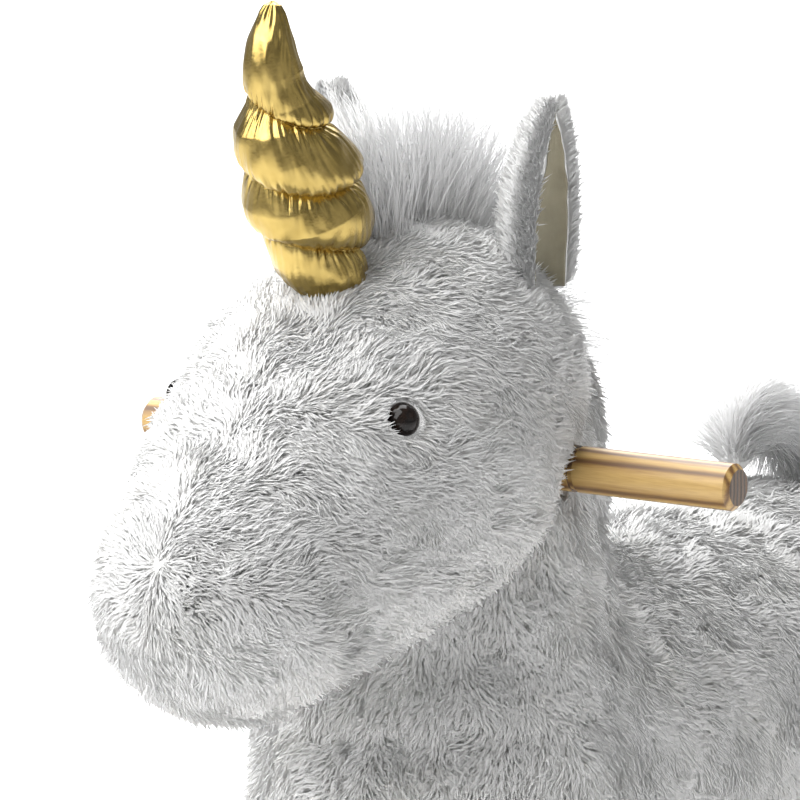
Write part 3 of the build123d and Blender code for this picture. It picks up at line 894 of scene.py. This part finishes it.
def add_tail(hair, backing):
    """A plume that stands on the rump and falls behind it."""
    random = np.random.default_rng(53)
    line = np.array([from_handle(0, y, z) for y, z in TAIL_LINE])
    steps = np.linspace(0, 1, len(line))
    count = 5400
    spot = random.random(count) * TAIL_REACH
    where = np.stack([np.interp(spot, steps, line[:, k]) for k in range(3)], -1)
    further = np.minimum(spot + 0.12, 1)
    ahead = unit(np.stack([np.interp(further, steps, line[:, k]) for k in range(3)], -1) - where)
    around = unit(np.cross(ahead, random.normal(size=(count, 3))))
    roots = where + around * 0.004
    heading = unit(ahead + around * random.uniform(0.45, 1.35, count)[:, None] + UP * 0.2)
    length = random.uniform(24, 40, count) * MM
    curl = 0.06 + 0.05 * random.random(count)
    paths = hair_paths(roots, heading, length, 0.28 + 0.2 * spot, curl, 6, random)
    spots = paths.reshape(-1, 3)
    short = np.maximum(0.0045 - torso_distance(spots), 0)[:, None]
    paths = (spots + short * slope(torso_distance, spots)).reshape(paths.shape)
    lie = around + random.normal(0, 0.2, (count, 3))
    width = random.uniform(0.35, 0.7, count) * MM
    arrays = strand_mesh(paths, width, random.uniform(0.2, 1.0, count), unit(lie))
    piece = fur_object("tail_hair", arrays, hair)
    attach(piece, "tail")
    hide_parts("tail_tuft", "tail_core")
    rings, columns = 18, 20
    t = np.linspace(0, 1, rings)
    centre = np.stack([np.interp(t * TAIL_CORE_REACH, steps, line[:, k]) for k in range(3)], -1)
    direction = unit(np.gradient(centre, axis=0))
    other = np.cross(direction, [1.0, 0, 0])
    radius = TAIL_CORE_RADIUS * np.sqrt(np.clip(1 - (2 * t - 1) ** 8, 0.02, 1)) * (1 - 0.4 * t)
    angle = np.linspace(0, 2 * pi, columns, endpoint=False)
    ring = circles(np.array([1.0, 0, 0]), other, angle)
    points = centre[:, None, :] + ring * radius[:, None, None]
    core = mesh_object("tail_stuffed_core", points.reshape(-1, 3), grid_faces(rings, columns), backing)
    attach(core, "tail")


# ---- Horn ------------------------------------------------------------------------------------------

# The horn's middle line, and its radius by height, in millimetres.
HORN_LINE = [(-90, 92), (-94, 103), (-103, 128), (-123, 162), (-137, 199), (-135, 226)]
HORN_UP = [0, 10, 20, 32, 42, 54, 64, 76, 88, 98, 108, 118, 126, 133, 138.5, 141.5, 143.5]
HORN_RADIUS = [19, 22, 24, 27.5, 30, 29.5, 27.5, 26, 23, 17, 14.5, 12.5, 10.5, 8.3, 6.0, 3.9, 0.01]
HORN_PITCH = 33.0


def horn_surface(rings, columns):
    """The horn's rings before it is wound: heights, centres, side and front directions, and radii."""
    line = np.array([from_handle(0, y, z) for y, z in HORN_LINE])
    chord = np.append(0, np.cumsum(np.linalg.norm(np.diff(line, axis=0), axis=1)))
    s = np.linspace(0, chord[-1], rings)
    fine = np.linspace(0, chord[-1], 400)
    rough = np.stack([np.interp(fine, chord, line[:, k]) for k in range(3)], -1)
    for _ in range(460):
        rough[1:-1] = (rough[:-2] + 2 * rough[1:-1] + rough[2:]) / 4
    centre = np.stack([np.interp(s, fine, rough[:, k]) for k in range(3)], -1)
    heading = unit(np.gradient(centre, axis=0))
    left = np.array([1.0, 0, 0])
    front = unit(np.cross(heading, left))
    angle = np.linspace(0, 2 * pi, columns, endpoint=False)
    up_mm = s * 1000
    base_radius = np.interp(up_mm * HORN_UP[-1] / up_mm[-1], HORN_UP, HORN_RADIUS)
    return s, centre, left, front, angle, base_radius


VIEW_TURN = radians(-57.0)


def thread_height(angle):
    """Height in millimetres of the turn of thread nearest the middle of the cone, round the horn."""
    across = angle - VIEW_TURN
    return 61.0 - HORN_PITCH * (across / (2 * pi) + 0.13 * np.sin(across))


def groove_phase(up_mm, angle):
    """Turns of thread passed at a height along the horn, seen round it; whole numbers are on the thread."""
    return (up_mm - thread_height(angle)) / HORN_PITCH


def add_horn(lame, thread):
    """The wound horn as one gathered cloth, and its thread."""
    rings, columns = 300, 320
    s, centre, left, front, angle, base_radius = horn_surface(rings, columns)
    up_mm = (s * 1000)[:, None]
    phase = groove_phase(up_mm, angle[None, :])
    away = np.abs(phase - np.round(phase))
    wound = np.clip((112 - up_mm) / 9, 0, 1)
    puff = np.sin(pi * (phase - np.floor(phase)) ** 0.65) ** 0.55
    sink = 1 - wound * (0.36 * (1 - puff))
    points_angle = angle[None, :] + 0 * up_mm
    flat = [np.cos(points_angle) * 0.03, np.sin(points_angle) * 0.03, up_mm / 1000 + 0 * points_angle]
    flat = np.stack(flat, -1).reshape(-1, 3)
    wander = waves(flat, 0.02, 71).reshape(phase.shape)
    gather = np.zeros_like(phase)
    for lines, strength, seed in ((23, 0.60, 72), (39, 0.40, 73), (61, 0.16, 74)):
        drift = waves(flat, 0.03, seed).reshape(phase.shape)
        fold = np.abs(np.sin(lines / 2 * angle[None, :] + 1.6 * drift + 0.9 * wander))
        gather += strength * (fold - 0.6)
    near = np.exp(-((away / 0.17) ** 2)) * wound
    dents = waves(flat, 0.012, 75).reshape(phase.shape)
    radius = base_radius[:, None] * sink
    radius = radius + 2.2 * gather * near + 0.3 * gather * wound + 0.35 * dents * (1 - near)
    from_fold = np.mod(angle[None, :] - 1.1 + pi, 2 * pi) - pi
    tip_fold = np.exp(-(((up_mm - 118) / 9) ** 2 + (from_fold / 0.30) ** 2))
    radius = np.maximum(radius - 3.0 * tip_fold * (up_mm < 138), 0.01)
    ring = circles(left, front, angle)
    points = centre[:, None, :] + ring * radius[..., None] * MM
    horn = mesh_object("horn_lame", points.reshape(-1, 3), grid_faces(rings, columns), lame)
    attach(horn, "horn")
    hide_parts("horn_cover", "horn_stuffing")

    turns = np.linspace(0, 2.9, 460)
    thread_angle = VIEW_TURN + radians(-130.0) - 2 * pi + 2 * pi * turns
    thread_up = thread_height(thread_angle)
    spot = np.stack([np.interp(thread_up / 1000, s, centre[:, k]) for k in range(3)], -1)
    ahead = unit(np.stack([np.interp(thread_up / 1000, s, front[:, k]) for k in range(3)], -1))
    across = np.interp(thread_up / 1000, s, base_radius) * 0.64 + 0.35
    out = np.cos(thread_angle)[:, None] * left + np.sin(thread_angle)[:, None] * ahead
    path = spot + out * across[:, None] * MM
    direction = unit(np.gradient(path, axis=0))
    other = np.cross(direction, out)
    thread_radius, thread_sides = 0.0008, 8
    sides = np.linspace(0, 2 * pi, thread_sides, endpoint=False)
    rope = path[:, None, :] + circles(out, other, sides) * thread_radius
    faces = grid_faces(len(turns), thread_sides)
    wound_thread = mesh_object("horn_wound_thread", rope.reshape(-1, 3), faces, thread)
    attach(wound_thread, "horn")
    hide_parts("horn_thread")


# ---- Ears ------------------------------------------------------------------------------------------


EAR_RINGS, EAR_COLUMNS = 40, 44
# Half width and depth of the cup by share of its height, in millimetres.
EAR_WIDE = [0, 0.3, 0.55, 0.75, 0.9, 1.0], [21, 22.5, 20.0, 14.5, 7.5, 0.8]
EAR_DEEP = [0, 0.5, 0.85, 1.0], [21, 20.5, 12.5, 3.0]


def ear_shape(side, inset):
    """Points of one ear's cup, drawn in by inset millimetres."""
    seat = from_handle(side * 60.0, 5.0, 97.4)
    turn = radians(8.0)
    opening = np.array([side * cos(turn), sin(turn), 0])
    seam = np.array([-sin(turn), side * cos(turn), 0]) * side
    t = np.linspace(0, 1, EAR_RINGS)
    wide = np.interp(t, *EAR_WIDE) - inset * 0.9
    deep = np.interp(t, *EAR_DEEP) - inset
    wide, deep = np.maximum(wide, 0.4), np.maximum(deep, 0.3)
    up = -16 + 86 * t
    angle = np.linspace(-pi / 2, pi / 2, EAR_COLUMNS)
    points = (
        seat
        + seam * (wide[:, None] * np.sin(angle)[None, :])[..., None] * MM
        - opening * (deep[:, None] * np.cos(angle)[None, :] - 3.0 * t[:, None])[..., None] * MM
        + UP * (up[:, None] * np.ones(EAR_COLUMNS)[None, :])[..., None] * MM
    )
    return points, opening, seam, seat


def add_ear(side, backing, lining, fur):
    """A cupped ear: plush outside with pile to its rim, smooth lining inside."""
    name = "left" if side > 0 else "right"
    rings, columns = EAR_RINGS, EAR_COLUMNS
    outer, opening, seam, seat = ear_shape(side, 2.0)
    inner, *_ = ear_shape(side, 4.2)
    wrinkle = waves(inner.reshape(-1, 3), 0.018, 81 + side).reshape(inner.shape[:2])
    inner = inner - opening * (wrinkle * 0.0006)[..., None]
    skin_points = np.concatenate([outer.reshape(-1, 3), inner.reshape(-1, 3)])
    sheet = grid_faces(rings, columns, closed=False)
    shift = rings * columns
    rim = []
    for i in range(rings - 1):
        a, b = i * columns, (i + 1) * columns
        rim.append((a, b, b + shift, a + shift))
        a, b = a + columns - 1, b + columns - 1
        rim.append((b, a, a + shift, b + shift))
    for j in range(columns - 1):
        top = (rings - 1) * columns + j
        rim.append((top, top + 1, top + 1 + shift, top + shift))
        rim.append((j + 1, j, j + shift, j + 1 + shift))
    quads = np.concatenate([sheet, sheet[:, ::-1] + shift, np.array(rim)])
    if side < 0:
        quads = quads[:, ::-1]
    skin = mesh_object(f"ear_plush_{name}", skin_points, quads, backing)

    flat_inner = inner.reshape(-1, 3)
    lift = opening * 0.0005
    back = flat_inner - opening * 0.0002
    lining_points = np.concatenate([flat_inner + lift, back])
    lining_quads = np.concatenate([sheet[:, ::-1], sheet + shift, np.array(rim)[:, ::-1]])
    if side < 0:
        lining_quads = lining_quads[:, ::-1]
    cup = mesh_object(f"ear_satin_{name}", lining_points, lining_quads, lining)

    random = np.random.default_rng(90 + side)
    count = 13000
    ring_at = random.random(count) ** 0.85 * (rings - 1)
    column_at = random.random(count) * (columns - 1)
    edge = random.random(count) < 0.34
    rim_side = np.where(random.random(edge.sum()) < 0.5, 0.15, columns - 1.15)
    column_at[edge] = rim_side + random.normal(0, 0.5, edge.sum())
    column_at = column_at.clip(0, columns - 1.001)
    i, j = ring_at.astype(int), column_at.astype(int)
    fi, fj = (ring_at - i)[:, None], (column_at - j)[:, None]
    j_next = np.minimum(j + 1, columns - 1)
    roots = outer[i, j] * (1 - fi) * (1 - fj) + outer[i + 1, j] * fi * (1 - fj)
    roots = roots + outer[i, j_next] * (1 - fi) * fj + outer[i + 1, j_next] * fi * fj
    angle = (column_at / (columns - 1) - 0.5) * pi
    normal = unit(seam * np.sin(angle)[:, None] - opening * np.cos(angle)[:, None])
    rimward = np.abs(np.sin(angle))[:, None] ** 4
    direction = unit(UP * 0.85 + seam * np.sign(angle)[:, None] * 0.25 + random.normal(0, 0.28, (count, 3)))
    size = (9.5 * random.uniform(0.75, 1.2, count) * MM)[:, None]
    lean = unit(direction * 0.75 + normal * (0.55 + 0.1 * rimward) + opening * rimward * 0.12)
    tips = roots + lean * size
    mids = roots + (tips - roots) * 0.45 + normal * size * 0.12
    across = unit(np.cross(tips - roots, normal))
    tone = random.uniform(0.35, 0.95, count)
    lie = unit(normal * (1 - 0.8 * rimward) + opening * rimward + UP * 0.3)
    width = random.uniform(0.6, 0.95, count) * MM
    tufts = tuft_mesh(roots - normal * 0.0005, mids, tips, across, width, tone, lie)
    fuzz = fur_object(f"ear_fur_{name}", tufts, fur)
    for piece in (skin, cup, fuzz):
        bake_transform(piece)
    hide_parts(f"ear_cover_{name}")
    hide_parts(f"ear_lining_{name}")


# ---- Put it together -------------------------------------------------------------------------------


def dress_cad(materials):
    """Give each CAD node that stays its own finished material."""
    grain = {
        0: ["front_slat", "rear_slat", "foot_rest", "handle_dowel"],
        1: ["rocker_left", "rocker_right", "seat_board"],
        2: ["neck_post"] + [f"leg_post_{name}" for name in leg_names],
    }
    for along, names in grain.items():
        wood = wood_material(f"pine_{'xyz'[along]}", along)
        for name in names:
            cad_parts[name].data.materials.clear()
            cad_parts[name].data.materials.append(wood)
    for name, material in materials.items():
        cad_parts[name].data.materials.clear()
        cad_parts[name].data.materials.append(material)


add_camera()
add_studio()
# The root colours below are painted shade: darker than the tips where the pile shades its own foot.
fur = fur_material(
    "white_pile",
    root=(0.955, 0.945, 0.925),
    body=(0.975, 0.975, 0.968),
    tip=(0.985, 0.985, 0.985),
    warm=(0.975, 0.968, 0.95),
)
hair = fur_material(
    "long_white_pile",
    root=(0.93, 0.925, 0.92),
    body=(0.96, 0.96, 0.962),
    tip=(0.975, 0.975, 0.98),
    warm=(0.965, 0.955, 0.945),
)
backing = skin_material()
steel, plastic, eye = steel_material(), plastic_material(), eye_material()
add_head(backing, fur)
add_body(backing, fur)
add_mane(hair)
add_tail(hair, backing)
add_horn(lame_material(), thread_material())
for side in (1, -1):
    add_ear(side, backing, lining_painted_shade_material(), fur)
dress = {f"eye_{side}": eye for side in ("left", "right")}
dress.update({f"eye_washer_{side}": plastic for side in ("left", "right")})
screws = ["slat_screws", "seat_screws", "neck_screws", "handle_screw"]
bolts = ["leg_bolts", "leg_washers", "leg_inserts"]
dress.update({name: steel for name in screws + bolts})
dress["tail_root"] = backing
dress_cad(dress)
